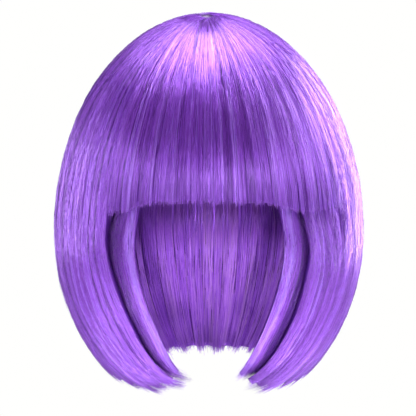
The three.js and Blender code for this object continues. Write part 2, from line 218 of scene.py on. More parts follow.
def crown_run(azimuth, radius=WHORL_RADIUS):
    """The run at a distance from the middle of the whorl."""
    length = np.linalg.norm(plan_point(azimuth) - WHORL, axis=-1)
    return np.arcsin(radius / length) * 2 / math.pi


wall = hair_point(CURTAIN_FALL, [90.0], 1.0, [0.0, 1.0])
print("the hair there is", np.linalg.norm(wall[0] - wall[1]).round(1), "mm thick")

# %% [markdown]
# ## The walls
# Each piece is a wall between two edges. Its layers say what it lies on: the fringe's right end
# lies on the right curtain, and fringe and curtains cover the roots of the face locks. The walls
# thin out towards the tips.

# %% Layers of each piece
OVER_CURTAIN, UNDER_FRINGE, OVER_LOCK, UNDER_COVER = 0.3, 0.38, 0.6, 0.67
TIP_LAYER, FRINGE_EDGE_LAYER = 0.3, 0.45
# the fringe's cover of the right curtain, by azimuth, and where past its cut the curtain comes up
COVER = ([CURTAIN_RIGHT_EDGE - 0.01, CURTAIN_RIGHT_EDGE, 51, 60], [0, 1, 1, 0])
RISE_START, RISE_END = 0.03, 0.22
# the fringe's inside by the share of the way to its cut, over the cap and over a face lock
FRINGE_OVER_CAP = ([0, 0.82, 0.9, 1], [1, 1, 0.62, FRINGE_EDGE_LAYER])
FRINGE_OVER_LOCK = ([0, 0.89, 0.95, 1], [OVER_LOCK, OVER_LOCK, 0.52, FRINGE_EDGE_LAYER])
# a face lock sinks towards the groove beside it, between two azimuths, by a share of the depth
LOCK_SINKS = {"face_lock_left": (38, 45), "face_lock_right": (37, 43)}
LOCK_SINK, LOCK_THINNING = 0.2, 0.1


def in_lock(azimuth):
    left = (azimuth > LOCK_LEFT_EDGES[0]) & (azimuth < LOCK_LEFT_EDGES[1])
    right = (azimuth > LOCK_RIGHT_EDGES[0]) & (azimuth < LOCK_RIGHT_EDGES[1])
    return left | right


def fringe_end(azimuth, shift=0.0):
    return run_at_drop(azimuth, read_table(FRINGE_CUT, "drop", azimuth) * BELLY_DROP + shift)


def thinning(run, layer):
    return layer + (TIP_LAYER - layer) * np.clip(run - 1, 0, 1) ** 2


def curtain_outside(azimuth, run):
    cut = fringe_end(np.clip(azimuth, *FRINGE_EDGES))
    risen = smooth_step(run, cut + RISE_START, cut + RISE_END)
    return UNDER_FRINGE * np.interp(azimuth, *COVER) * (1 - risen)


def curtain_inside(azimuth, run):
    over = in_lock(azimuth) & (run > LOCK_ROOT)
    return thinning(run, np.where(over, OVER_LOCK, 1.0))


def fringe_inside(azimuth, run):
    end = fringe_end(azimuth)
    over_cap = np.interp(run / end, *FRINGE_OVER_CAP)
    over_lock = np.interp(run / end, *FRINGE_OVER_LOCK)
    layer = np.where(in_lock(azimuth) & (run > LOCK_ROOT), over_lock, over_cap)
    return np.where(azimuth > CURTAIN_RIGHT_EDGE, OVER_CURTAIN, layer)


def layers(name, azimuth, run):
    """Layers of the outside and the inside of a piece."""
    if name == "fringe":
        return np.zeros_like(run), fringe_inside(azimuth, run)
    if name.startswith("face_lock"):
        sunk = smooth_step(np.abs(azimuth), *LOCK_SINKS[name])
        inside = 1 - LOCK_THINNING * np.clip(run - 1, 0, 1) ** 2
        return UNDER_COVER + LOCK_SINK * sunk + 0 * run, inside
    return curtain_outside(azimuth, run), curtain_inside(azimuth, run)


print("layers over each other", OVER_CURTAIN, UNDER_FRINGE, OVER_LOCK, UNDER_COVER)

# %% Edges and locks of each piece
# Each side curtain draws back from the face lock beside it, which opens the groove between them:
# by so many degrees at each run, less and less over the fade, and not at all past the stop.
DRAW_BACK = {
    "side_right": dict(
        side=1, stop=54, fade=16, run=[0.9, 0.95, 1.07, 1.3], degrees=[1, 3.5, 2.2, 1.5]
    ),
    "side_left": dict(
        side=-1, stop=-52, fade=12,
        run=[0.85, 0.95, 1.07, 1.24, 1.4], degrees=[0.5, 1.4, 0.4, -2, -3.5],
    ),
}
UNEVEN_TIPS = 0.35  # how much the locks differ in length, beside a lock's own bulge


def wall_of(edges, locks, ragged, seed, fall=CURTAIN_FALL):
    """Edges in degrees, the number of main locks, and how ragged their ends are, in mm."""
    return dict(edges=edges, locks=locks, ragged=ragged, seed=seed, fall=fall)


PIECES = {
    "fringe": wall_of(FRINGE_EDGES, locks=13, ragged=2.2, seed=3),
    "side_left": wall_of((-BACK_EDGE, FRINGE_EDGES[0]), locks=8, ragged=3.5, seed=1),
    "side_right": wall_of((CURTAIN_RIGHT_EDGE, BACK_EDGE), locks=8, ragged=3.5, seed=4),
    "back_hair": wall_of((BACK_EDGE, 360 - BACK_EDGE), locks=10, ragged=3.5, seed=2),
    "face_lock_left": wall_of(LOCK_LEFT_EDGES, locks=3, ragged=4, seed=5, fall=LOCK_FALL),
    "face_lock_right": wall_of(LOCK_RIGHT_EDGES, locks=3, ragged=4, seed=6, fall=LOCK_FALL),
}


def settled(name, azimuth, run):
    """Draws a side curtain's azimuths back from its face lock, and leaves the other pieces."""
    if name not in DRAW_BACK:
        return azimuth
    draw = DRAW_BACK[name]
    back = np.interp(run, draw["run"], draw["degrees"])
    near = np.clip(draw["side"] * (draw["stop"] - azimuth) / draw["fade"], 0, 1)
    return azimuth + draw["side"] * back * near


def run_ends(name, azimuth, shift=0.0, root=WHORL_RADIUS):
    """First and last run of a piece at an azimuth."""
    if name.startswith("face_lock"):
        return np.full_like(azimuth, LOCK_ROOT + 0.01), np.full_like(azimuth, 2.0)
    last = fringe_end(azimuth, shift) if name == "fringe" else np.full_like(azimuth, 2.0)
    return crown_run(azimuth, root), last


def share_across(piece, azimuth):
    return (azimuth - piece["edges"][0]) / (piece["edges"][1] - piece["edges"][0])


def lock_wave(name, azimuth):
    """0 in the groove between two locks, 1 along the middle of a lock."""
    piece = PIECES[name]
    return 0.5 - 0.5 * np.cos(share_across(piece, azimuth) * piece["locks"] * 2 * math.pi)


def tip_shift_of(name, azimuth):
    """How much longer than the even hem a piece is at an azimuth, in mm."""
    piece = PIECES[name]
    across = np.clip(share_across(piece, azimuth), 0, 0.999)
    number = np.floor(across * piece["locks"]) + piece["seed"]
    uneven = UNEVEN_TIPS * np.sin(number * 2.4)
    return piece["ragged"] * (lock_wave(name, azimuth) - 0.5 + uneven)


print("main locks", {name: piece["locks"] for name, piece in PIECES.items()})

# %% [markdown]
# ## Under-hair
# On the real wig the outer fibres lie on many more. A closed wall under them stops the eye from
# looking through. It is two grids of points, one for each face, put in place by the flow and
# bridged along their borders. Its own streaks come from its material, along the flow.

# %% The under-hair walls
MM = 0.001
BED_DEPTH = 1.35  # how far the under-hair lies below the outside of its wall, in mm
BED_LIFT = 0.8  # how far it stays off the inside of its wall, below the cap, in mm
BED_MARGIN = 0.12  # how far it stays off the side edges, in degrees
# How much of a run the under-hair stops short of its hem. Curtains and face locks end in wisps of
# bare fibre, which fade out towards the back, so theirs goes by azimuth.
BED_SHORT = {"fringe": 0.004, "back_hair": -0.004}
HEM_SHORT = ([70, 106], [0.13, 0.0])
# How much of the locks' uneven length shows in it: little where the cut is straight
EDGE_WAVE = {"fringe": 0.25, "back_hair": 0.25}
CURTAIN_WAVE = 0.6
STEPS = {
    "fringe": (120, 40), "side_left": (96, 54), "side_right": (96, 54), "back_hair": (136, 54),
    "face_lock_left": (28, 48), "face_lock_right": (28, 48),
}


def grooves(name, azimuth, run):
    """How deep the grooves between the locks are, in mm. They fade out at the whorl and the tips."""
    depth = 0.5 * LOCK_RELIEF * (1 - lock_wave(name, azimuth)) * np.minimum(1, 2 * run)
    return depth * (1 - 0.8 * np.clip(run - 1, 0, 1) ** 2)


def bed_point(name, column, row, outside):
    """A point of a face of the under-hair, by the shares of the way across and along it."""
    piece = PIECES[name]
    low, high = piece["edges"]
    azimuth = low + BED_MARGIN + column * (high - low - 2 * BED_MARGIN)
    shift = tip_shift_of(name, azimuth) * EDGE_WAVE.get(name, CURTAIN_WAVE)
    first, last = run_ends(name, azimuth, shift if name == "fringe" else 0.0)
    short = BED_SHORT.get(name, np.interp(np.abs(azimuth), *HEM_SHORT))
    run = first + (last - short - first) * row
    outer, inner = layers(name, azimuth, run)
    tip = np.clip(run - 1, 0, 1) ** 2
    place = settled(name, azimuth, run)
    if outside:
        inwards = BED_DEPTH * (1 - 0.5 * tip) + grooves(name, azimuth, run)
        return hair_point(piece["fall"], place, run, outer, inwards, shift)
    lift = np.where(run > 0.9, BED_LIFT, 0.0) * (1 - 0.7 * tip)
    return hair_point(piece["fall"], place, run, inner, -lift, shift)


def link_object(name, mesh):
    made = bpy.data.objects.new(name, mesh)
    scene.collection.objects.link(made)
    return made


def bake_place(x, y, outside):
    """The outer face fills the left half of the texture, and the inner face the right half."""
    return (0.01 + 0.47 * x + (0 if outside else 0.5), 0.02 + 0.96 * (1 - y))


def under_hair(name):
    columns, rows = STEPS[name]
    mesh_maker = bmesh.new()
    uv = mesh_maker.loops.layers.uv.new("OFBake")
    flow = mesh_maker.loops.layers.uv.new("flow")
    borders = []
    for outside in (True, False):
        made = bmesh.ops.create_grid(mesh_maker, x_segments=columns, y_segments=rows, size=1)
        corners = made["verts"]
        share = np.array([((v.co.x + 1) / 2, (1 - v.co.y) / 2) for v in corners])
        place = bed_point(name, share[:, 0], share[:, 1], outside) * MM
        faces = {f for v in corners for f in v.link_faces}
        for f in faces:
            for loop in f.loops:
                x, y = (loop.vert.co.x + 1) / 2, (1 - loop.vert.co.y) / 2
                loop[uv].uv = bake_place(x, y, outside)
                loop[flow].uv = (x, y)
        borders += [e for e in {e for v in corners for e in v.link_edges} if len(e.link_faces) == 1]
        for v, p in zip(corners, place):
            v.co = p
        if not outside:
            bmesh.ops.reverse_faces(mesh_maker, faces=list(faces))
    bmesh.ops.bridge_loops(mesh_maker, edges=borders)
    bmesh.ops.recalc_face_normals(mesh_maker, faces=mesh_maker.faces)
    mesh = bpy.data.meshes.new("under_" + name)
    mesh_maker.to_mesh(mesh)
    mesh_maker.free()
    mesh.shade_smooth()
    made = link_object("under_" + name, mesh)
    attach(made, "root")
    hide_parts(name)
    return made


beds = {name: under_hair(name) for name in PIECES}
print("under-hair faces", {name: len(bed.data.polygons) for name, bed in beds.items()})

# %% [markdown]
# ## Fibres
# A fibre is a thin closed tube with three sides and a long taper, so that light runs along it as
# along real fibre. A modifier or an operator could make one, but not thousands in a few seconds, so
# numpy works out all the tubes of a piece at once and they become one mesh. Each fibre has a tone
# and a place along the hair, stored as attributes for the material, and its own strip of a texture.
# For some pieces the tone also carries painted shade and painted light, and the material paints
# shade near the roots by the place along the hair.

# %% One mesh from many fibres
SIDES = 3
HALF_ACROSS, HALF_THICK = 0.58, 0.18  # the tube's corners beside and above its path, by its width
HEAD_MIDDLE = np.array([0, 0, -110.0])  # fibres lie flat towards this point
STRIPS_ACROSS = 256
STRIP_LEFT, STRIP_WIDE = 0.12, 0.76  # as shares of a strip's place in the texture
STRIP_LOW, STRIP_TALL = 0.04, 0.92
CAP_TALL = 0.02


def fibre_mesh(name, path, width, tone, along, depth, faces_in=False):
    """path: fibres x points x 3 in mm; width: fibres x points in mm."""
    fibres, points = path.shape[:2]
    tangent = np.gradient(path, axis=1)
    tangent /= np.linalg.norm(tangent, axis=-1, keepdims=True) + 1e-9
    outwards = (path - HEAD_MIDDLE) * (-1 if faces_in else 1)
    outwards -= (outwards * tangent).sum(-1, keepdims=True) * tangent
    outwards /= np.linalg.norm(outwards, axis=-1, keepdims=True) + 1e-9
    aside = np.cross(tangent, outwards)
    ring = []
    for corner in range(SIDES):
        turn = math.pi / 2 + corner * 2 * math.pi / SIDES
        beside = aside * math.cos(turn) * HALF_ACROSS
        above = outwards * math.sin(turn) * HALF_THICK
        ring.append(path + (beside + above) * width[..., None])
    corners = np.stack(ring, 2).reshape(-1, 3)
    start = (np.arange(fibres) * points * SIDES)[:, None, None]
    step = (np.arange(points - 1) * SIDES)[None, :, None]
    side = np.arange(SIDES)[None, None, :]
    after = (side + 1) % SIDES
    quads = np.stack(
        np.broadcast_arrays(
            start + step + side, start + step + SIDES + side,
            start + step + SIDES + after, start + step + after,
        ), -1
    ).reshape(-1, 4)
    last = (points - 1) * SIDES
    root = start[:, 0] + np.array([[0, 1, 2]])
    tip = start[:, 0] + last + np.array([[2, 1, 0]])
    ends = np.concatenate([root, tip])
    corners_of_faces = np.concatenate([quads.ravel(), ends.ravel()])
    starts = np.concatenate(
        [np.arange(len(quads)) * 4, len(quads) * 4 + np.arange(len(ends)) * 3]
    )
    mesh = bpy.data.meshes.new(name)
    mesh.vertices.add(len(corners))
    mesh.vertices.foreach_set("co", (corners * MM).ravel())
    mesh.loops.add(len(corners_of_faces))
    mesh.loops.foreach_set("vertex_index", corners_of_faces)
    mesh.polygons.add(len(starts))
    mesh.polygons.foreach_set("loop_start", starts)
    mesh.update(calc_edges=True)
    for label, value in (("tone", tone[:, None]), ("along", along), ("depth", depth[:, None])):
        store = mesh.attributes.new(label, "FLOAT", "POINT")
        spread = np.broadcast_to(value[..., None], (fibres, points, SIDES))
        store.data.foreach_set("value", np.ascontiguousarray(spread, dtype=np.float32).ravel())
    lay_out_strips(mesh, fibres, points, len(quads))
    mesh.shade_smooth()
    return link_object(name, mesh)


def lay_out_strips(mesh, fibres, points, quads):
    """Gives each fibre a strip of the texture: its sides lie across and its length lies along."""
    rows = math.ceil(fibres / STRIPS_ACROSS)
    column, row = np.arange(fibres) % STRIPS_ACROSS, np.arange(fibres) // STRIPS_ACROSS
    left = ((column + STRIP_LEFT) / STRIPS_ACROSS)[:, None, None]
    wide = STRIP_WIDE / STRIPS_ACROSS / SIDES
    low = ((row + STRIP_LOW) / rows)[:, None, None]
    tall = STRIP_TALL / rows / (points - 1)
    step, side = np.arange(points - 1)[None, :, None], np.arange(SIDES)[None, None, :]
    x0, y0 = left + wide * side, low + tall * step
    x0, y0 = np.broadcast_arrays(x0, y0)
    quad = np.stack(
        [np.stack([x0, y0], -1), np.stack([x0, y0 + tall], -1),
         np.stack([x0 + wide, y0 + tall], -1), np.stack([x0 + wide, y0], -1)], -2
    ).reshape(-1, 2)

    def cap(y, up):
        x, y = left[:, 0, 0], y[:, 0, 0]
        peak = [x + wide * 1.5, y + up * CAP_TALL / rows]
        corners = ([x, y], [x + wide * 3, y], peak)
        return np.stack([np.stack(corner, -1) for corner in corners], 1).reshape(-1, 2)

    caps = np.concatenate([cap(low, -1), cap(low + tall * (points - 1), 1)])
    layer = mesh.uv_layers.new(name="OFBake")
    layer.data.foreach_set("uv", np.concatenate([quad, caps]).astype(np.float32).ravel())


print("sides of a fibre", SIDES, "strips across the texture", STRIPS_ACROSS)

# %% [markdown]
# ## Where the fibres lie
# A fibre starts somewhere on its piece, a little below the surface, comes up, and follows the flow
# for about half the length of the hair. Its neighbours draw it into a thin lock, more so at the
# tips, and at the ends of the curtains the locks gather once more into wisps. A few fibres stray.
# Every random choice comes from a seed, so the hair is the same on each run.

# %% Locks, lengths and spans
POINTS = 9
FIBRE_ROOT = 2.5  # how near to the middle of the whorl a fibre may start, in mm
INNER_ROOT = 0.84  # the run where the inside of the hair comes out from under the cap
WISP_WIDTH = 7  # in degrees
WISP_FADE = ([70, 106], [1, 0])  # how uneven the wisps are, by azimuth
FIBRE_WAVE, FRINGE_WAVE = 0.6, 0.25  # how much of the main locks' uneven length shows


def uneven_locks(edges, width, rng):
    """Centres and borders of locks of uneven width, in degrees."""
    widths = rng.uniform(0.5, 1.5, max(4, int((edges[1] - edges[0]) / width)))
    borders = edges[0] + np.cumsum(np.append(0, widths)) / widths.sum() * (edges[1] - edges[0])
    return (borders[:-1] + borders[1:]) / 2, borders


def fibre_spans(count, rng):
    """Where along the hair each fibre begins and ends: near the root, anywhere, or at the tip."""
    kind = rng.random(count)
    share = rng.uniform(0.36, 0.62, count)
    begin = rng.random(count) * (1 - share)
    begin = np.where(kind < 0.25, 0, np.where(kind > 0.6, 1 - share, begin))
    return begin, np.where(kind > 0.6, 1, begin + share)


def members(azimuth, borders):
    """Which lock each fibre belongs to."""
    return np.clip(np.searchsorted(borders, azimuth) - 1, 0, len(borders) - 2)


def fibre_lengths(name, azimuth, wisp, in_wisp, wisps, rng):
    """First and last run of each fibre, and how much longer than the even hem it is, in mm."""
    count, ragged = len(azimuth), PIECES[name]["ragged"]
    shift = tip_shift_of(name, azimuth) * FIBRE_WAVE + rng.normal(0, 0.4 * ragged, count)
    first, last = run_ends(name, azimuth, root=FIBRE_ROOT)
    if name == "fringe":
        # the cut is straight in the middle and looser at both of its ends
        ends = 1 + 2.5 * np.interp(azimuth, [-40, -31, 40, 60], [1, 0, 0, 1])
        wave = tip_shift_of(name, azimuth) * FRINGE_WAVE
        shift = 0.2 + rng.normal(0, 1.0, count) * ends + wave
        last = fringe_end(azimuth, shift)
    elif name == "back_hair":
        last = last + rng.normal(0.012, 0.008, count)
    if wisp:
        uneven = 0.16 * rng.random(wisps)[in_wisp] + 0.1 * rng.random(count) ** 2
        last = last + 0.03 - (uneven - 0.02) * np.interp(np.abs(azimuth), *WISP_FADE)
    return first, last, shift


print("a fibre has", POINTS, "points")

# %% Laying out the fibres of a piece
LOCK_LIFT = 0.3  # how far locks rise and fall, in mm
FIBRE_DEPTH = 0.6  # how deep below the outside the fibres lie, in mm
EDGE_ROOM = 0.4  # how far from a piece's edges its fibres start, in degrees
EDGE_SPILL = 0.6  # how unevenly they end at those edges, in degrees
STRAY_SHARE, STRAY_REACH = 0.04, (0.4, 1.6)  # few fibres stray, by so many mm at the end
SINK_START, SINK_END = 1.5, 1.2  # how deep an end in mid-hair dives under its neighbours, in mm


def inner_edges(name):
    """The curtains' inner fibres stay clear of the face locks."""
    low, high = PIECES[name]["edges"]
    if name == "side_left":
        return low, LOCK_LEFT_EDGES[0]
    if name == "side_right":
        return LOCK_RIGHT_EDGES[1], high
    return low, high


def lay_fibres(name, count, seed, inside=False, width=0.55, gather=0.25, lock=2.0, shade=None,
               tip_width=0.2, lock_tone=0.35, overhang=(0, 0), wisp=0.0):
    """Paths, widths, tones, places along the hair and depths of a piece's fibres.

    Thin locks are lock degrees wide. They draw their fibres together by gather, and wisps draw
    the tips together by wisp. overhang is how far the fibres pass the piece's edges, in degrees.
    """
    piece = PIECES[name]
    rng = np.random.default_rng(seed)
    low, high = inner_edges(name) if inside else piece["edges"]
    from_edge, to_edge = low + EDGE_ROOM - overhang[0], high - EDGE_ROOM + overhang[1]
    azimuth = rng.uniform(from_edge, to_edge, count)
    centres, borders = uneven_locks((low, high), lock, rng)
    member = members(azimuth, borders)
    wisps, wisp_borders = uneven_locks((low, high), WISP_WIDTH, rng)
    in_wisp = members(azimuth, wisp_borders)

    # the runs of each fibre's points
    first, last, shift = fibre_lengths(name, azimuth, wisp, in_wisp, len(wisps), rng)
    if inside:
        first = np.full_like(azimuth, INNER_ROOT)
    begin, end = fibre_spans(count, rng)
    step = np.append(np.linspace(0, 0.985, POINTS - 1), 1)[None, :]
    share = begin[:, None] + (end - begin)[:, None] * step
    run = first[:, None] + (last - first)[:, None] * share

    # neighbours draw together towards the tips, and each fibre wanders a little
    pull = gather * smooth_step(run, 0.3, 2.0) + 0.06
    if name == "fringe":
        pull = 0.05 + 0.1 * smooth_step(run, 0.5, 1.0)
    lean = rng.normal(0, 0.5, (count, 1)) * (run - 0.8)
    sway = 0.18 * np.sin(run * 9 + rng.uniform(0, 6.3, (count, 1)))
    place = azimuth[:, None] + (centres[member] - azimuth)[:, None] * pull + lean + sway
    place = place + (wisps[in_wisp][:, None] - place) * wisp * smooth_step(run, 1.45, 2.05)
    spill = EDGE_SPILL * rng.random((count, 1))
    place = np.clip(place, low + spill - overhang[0], high - spill + overhang[1])
    place = settled(name, place, run)

    # depth: under its neighbours at a mid-hair end, rising and falling with its lock
    outer, inner = layers(name, azimuth[:, None] + 0 * run, run)
    depth = rng.random(count) ** 1.3 * FIBRE_DEPTH
    sink = SINK_START * (1 - smooth_step(step, 0, 0.14)) * (begin > 0)[:, None]
    sink = sink + SINK_END * smooth_step(step, 0.86, 1) * (end < 1)[:, None]
    beat = rng.uniform(15, 26, len(centres))[member][:, None]
    phase = rng.uniform(0, 6.3, len(centres))[member][:, None]
    lift = LOCK_LIFT * np.sin(run * beat + phase) * np.minimum(1, 2 * run)
    lift = lift * (1 - 0.6 * np.clip(run - 1, 0, 1)) - 0.08 * np.sin(run * 31 + phase * 3)
    strays = np.where(rng.random(count) < STRAY_SHARE, rng.uniform(*STRAY_REACH, count), 0)
    if inside:
        layer, inwards = inner, 0.3 - 0.5 * depth[:, None] - sink + 0.5 * lift
    else:
        stray = strays[:, None] * step**2
        dent = depth[:, None] + grooves(name, place, run)
        layer, inwards = outer, dent + sink - stray + lift + LOCK_LIFT
    path = hair_point(piece["fall"], place, run, layer, inwards, shift[:, None])
    taper = np.minimum(1, 0.5 + 3 * step) * np.clip((1.03 - step) / 0.3, tip_width, 1)
    size = width * rng.uniform(0.7, 1.3, count)[:, None] * taper
    tone = lock_tone * rng.random(len(centres))[member] + (1 - lock_tone) * rng.random(count)
    # painted shade and painted light: the tone is darkened or brightened by azimuth
    if shade:
        tone = tone * np.interp(azimuth, *shade)
    return path, size, tone, run / 2, depth / FIBRE_DEPTH


# %% The fibres
# A shade is painted shade and painted light: it gives a share of the tone by azimuth. The inside
# is painted palest where the lamp reaches it and darker towards its edges, and a face lock is
# painted dark in the groove beside its curtain and pale on its ridge towards the face.
CURTAIN = dict(count=3100, gather=0.35, lock=1.7, lock_tone=0.6, overhang=(1.2, 1.2), wisp=0.55)
CURTAIN_INSIDE = dict(count=400, inside=True, gather=0.15, lock_tone=0.2)
BACK_INSIDE = dict(count=2200, inside=True, lock=6, lock_tone=0.45, gather=0.12, tip_width=0.5)
FACE_LOCK = dict(count=750, gather=0.25, wisp=0.3, lock_tone=0.55)
# painted light in the middle of the back's inside, where the lamp reaches, and painted shade at its
# sides
BACK_INSIDE_PAINTED_LIGHT_AND_SHADE = ([112, 140, 165, 195, 220, 248], [0.5, 0.8, 1.35, 1.35, 0.8, 0.5])
# painted shade in the groove beside each face lock and painted light on its ridge towards the face
LEFT_LOCK_PAINTED_SHADE_AND_LIGHT = ([-50, -44, -40, -36, -33, -30], [0, 0.1, 0.45, 0.8, 1.6, 1.4])
RIGHT_LOCK_PAINTED_SHADE_AND_LIGHT = ([31, 34, 37, 41, 44, 48], [1.4, 1.6, 0.8, 0.45, 0.1, 0])
FIBRES = [
    ("fringe", "fringe_fibres",
     dict(count=3300, seed=11, tip_width=0.4, lock=1.5, lock_tone=0.45, overhang=(0, 1.2))),
    ("side_left", "side_left_fibres", dict(CURTAIN, seed=12)),
    ("side_right", "side_right_fibres", dict(CURTAIN, seed=13)),
    ("back_hair", "back_fibres",
     dict(count=3000, seed=14, lock_tone=0.55, overhang=(1.2, 1.2))),
    ("back_hair", "back_inner_fibres", dict(BACK_INSIDE, seed=15, shade=BACK_INSIDE_PAINTED_LIGHT_AND_SHADE)),
    # painted shade on the insides of the curtains, darker towards the front
    ("side_left", "side_left_inner_fibres",
     dict(CURTAIN_INSIDE, seed=18, shade=([-112, -60], [0.7, 0.25]))),
    ("side_right", "side_right_inner_fibres",
     dict(CURTAIN_INSIDE, seed=19, shade=([60, 112], [0.25, 0.7]))),
    ("face_lock_left", "face_lock_left_fibres", dict(FACE_LOCK, seed=16, shade=LEFT_LOCK_PAINTED_SHADE_AND_LIGHT)),
    ("face_lock_right", "face_lock_right_fibres",
     dict(FACE_LOCK, seed=17, shade=RIGHT_LOCK_PAINTED_SHADE_AND_LIGHT)),
]
fibre_pieces = {}
for node, name, options in FIBRES:
    laid = lay_fibres(node, **options)
    fibre_pieces[name] = fibre_mesh(name, *laid, faces_in=options.get("inside", False))
    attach(fibre_pieces[name], "root")
    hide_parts(node)
print("fibre faces", {name: len(made.data.polygons) for name, made in fibre_pieces.items()})

# %% [markdown]
# ## The rosette at the crown
# Where all the hair starts there is a small whorl. Short fibres curl out of its middle over a
# shallow mound, which hides the knots.

# %% The whorl
WHORL_TWIST = 55  # how far the short fibres curl round the middle, in degrees


def whorl_fibres(count, seed):
    rng = np.random.default_rng(seed)
    azimuth = rng.uniform(-180, 180, count)
    step = np.linspace(0, 1, POINTS)[None, :]
    radius = rng.uniform(0.6, 3.0, count)[:, None] + step * rng.uniform(9, 20, count)[:, None]
    twist = azimuth[:, None] + WHORL_TWIST * (1 - step) ** 2
    twist = (twist + 180) % 360 - 180
    run = crown_run(twist, np.minimum(radius, 40))
    inwards = rng.uniform(0, 0.5, count)[:, None] + 1.2 * (1 - smooth_step(radius, 0, 9)) + 0.1
    path = hair_point(CURTAIN_FALL, twist, run, 0.0, inwards)
    taper = np.clip((1.04 - step) / 0.4, 0.15, 1)
    size = 0.4 * np.minimum(1, 0.5 + 3 * step) * taper * np.ones_like(path[..., 0])
    return path, size, rng.random(count) * 0.8, radius / 380, rng.random(count)


whorl_hair = fibre_mesh("whorl_fibres", *whorl_fibres(420, 21))
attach(whorl_hair, "root")
fibre_pieces["whorl_fibres"] = whorl_hair
print("whorl faces", len(whorl_hair.data.polygons))


# %% The mound under the whorl
def whorl_mound():
    """A round cushion of hair under the whorl: a globe pressed into the layers of the crown."""
    maker = bmesh.new()
    bmesh.ops.create_uvsphere(maker, u_segments=48, v_segments=20, radius=1)
    ball = np.array([v.co[:] for v in maker.verts])
    share = np.hypot(ball[:, 0], ball[:, 1])
    azimuth = np.degrees(np.arctan2(ball[:, 0], -ball[:, 1]))
    run = crown_run(azimuth, share * (WHORL_RADIUS - 0.8))
    top = ball[:, 2] > -0.05
    layer = np.where(top, 0.0, 0.9)
    inwards = np.where(top, 0.9 + 1.4 * (1 - share) ** 2, 0.0)
    for v, p in zip(maker.verts, hair_point(CURTAIN_FALL, azimuth, run, layer, inwards) * MM):
        v.co = p
    bmesh.ops.recalc_face_normals(maker, faces=maker.faces)
    mesh = bpy.data.meshes.new("under_crown")
    maker.to_mesh(mesh)
    maker.free()
    mesh.shade_smooth()
    made = link_object("under_crown", mesh)
    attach(made, "root")
    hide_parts("crown_whorl")
    return made


mound = whorl_mound()
print("mound faces", len(mound.data.polygons))

# %% [markdown]
# ## Materials
# The fibre is a glossy synthetic: deep violet where it lies in shade, paler along its ridges, and
# painted darker near its roots, as painted shade. Its body is made partly metallic, so that its shine
# is violet, and a clear coat adds the crisp white shine of plastic fibre. The inside of the hair is
# duller, its colour a paler copy of the fibre's as painted light, with painted shade at the top of
# the hollow. One shader group dims a colour by a painted shade, and every fibre finish uses it.

# %% Helpers for materials
def new_material(name):
    material = bpy.data.materials.new(name)
    material.use_nodes = True
    nodes, links = material.node_tree.nodes, material.node_tree.links
    return material, nodes, links, nodes["Principled BSDF"]


def colour_ramp(nodes, stops):
    ramp = nodes.new("ShaderNodeValToRGB")
    elements = ramp.color_ramp.elements
    while len(elements) < len(stops):
        elements.new(0.5)
    for element, (position, colour) in zip(elements, stops):
        element.position = position
        element.color = (*colour, 1)
    return ramp


# %% The shade group
def shade_group():
    """Dims a colour by a painted shade, such as that between roots, where little light gets in."""
    group = bpy.data.node_groups.new("hair_painted_shade", "ShaderNodeTree")
    for label in ("Colour", "Shade"):
        group.interface.new_socket(label, in_out="INPUT", socket_type="NodeSocketColor")
    group.interface.new_socket("Shaded", in_out="OUTPUT", socket_type="NodeSocketColor")
    nodes, links = group.nodes, group.links
    given, made = nodes.new("NodeGroupInput"), nodes.new("NodeGroupOutput")
    mix = nodes.new("ShaderNodeMix")
    mix.data_type, mix.blend_type = "RGBA", "MULTIPLY"
    mix.inputs["Factor"].default_value = 1
    colours = [socket for socket in mix.inputs if socket.type == "RGBA"]
    links.new(given.outputs["Colour"], colours[0])
    links.new(given.outputs["Shade"], colours[1])
    links.new(next(s for s in mix.outputs if s.type == "RGBA"), made.inputs["Shaded"])
    return group


painted_shade_group = shade_group()
print("shade group", [item.name for item in painted_shade_group.interface.items_tree])

# %% The fibre material
FIBRE_ROUGHNESS, COAT_ROUGHNESS, COAT_IOR = 0.3, 0.21, 1.55
FIBRE_TONES = [
    (0.0, (0.085, 0.013, 0.25)),
    (0.35, (0.21, 0.034, 0.51)),
    (0.7, (0.33, 0.083, 0.75)),
    (1.0, (0.44, 0.20, 0.90)),
]
# painted light: the inside gets a paler copy of the fibre's colours, which brightens the hollow
INNER_PAINTED_PALER_TONES = [
    (0.0, (0.20, 0.040, 0.55)),
    (0.5, (0.44, 0.13, 0.92)),
    (1.0, (0.66, 0.30, 1.0)),
]


def fibre_finish(name, tones, painted_shade_stops, metallic, coat, specular=0.5):
    """Tone from the fibre, painted shade from the place along it, and gloss from the two numbers."""
    material, nodes, links, shader = new_material(name)
    tone, along = nodes.new("ShaderNodeAttribute"), nodes.new("ShaderNodeAttribute")
    tone.attribute_name, along.attribute_name = "tone", "along"
    ramp = colour_ramp(nodes, tones)
    shade = nodes.new("ShaderNodeGroup")
    shade.node_tree = painted_shade_group
    dim = colour_ramp(nodes, painted_shade_stops)
    links.new(tone.outputs["Fac"], ramp.inputs["Fac"])
    links.new(along.outputs["Fac"], dim.inputs["Fac"])
    links.new(ramp.outputs["Color"], shade.inputs["Colour"])
    links.new(dim.outputs["Color"], shade.inputs["Shade"])
    links.new(shade.outputs["Shaded"], shader.inputs["Base Color"])
    shader.inputs["Metallic"].default_value = metallic
    shader.inputs["Roughness"].default_value = FIBRE_ROUGHNESS
    shader.inputs["Specular IOR Level"].default_value = specular
    shader.inputs["Coat Weight"].default_value = coat
    shader.inputs["Coat Roughness"].default_value = COAT_ROUGHNESS
    shader.inputs["Coat IOR"].default_value = COAT_IOR
    return material


# painted shade by the place along the hair: 0 at the whorl, 0.5 at the belly, 1 at the tip. Outside,
# the fibres are painted darker near the whorl, where little light gets in between the roots.
OUTER_PAINTED_ROOT_SHADE = [(0.006, (0.35, 0.28, 0.4)), (0.016, (0.8, 0.76, 0.85)), (0.035, (1, 1, 1))]
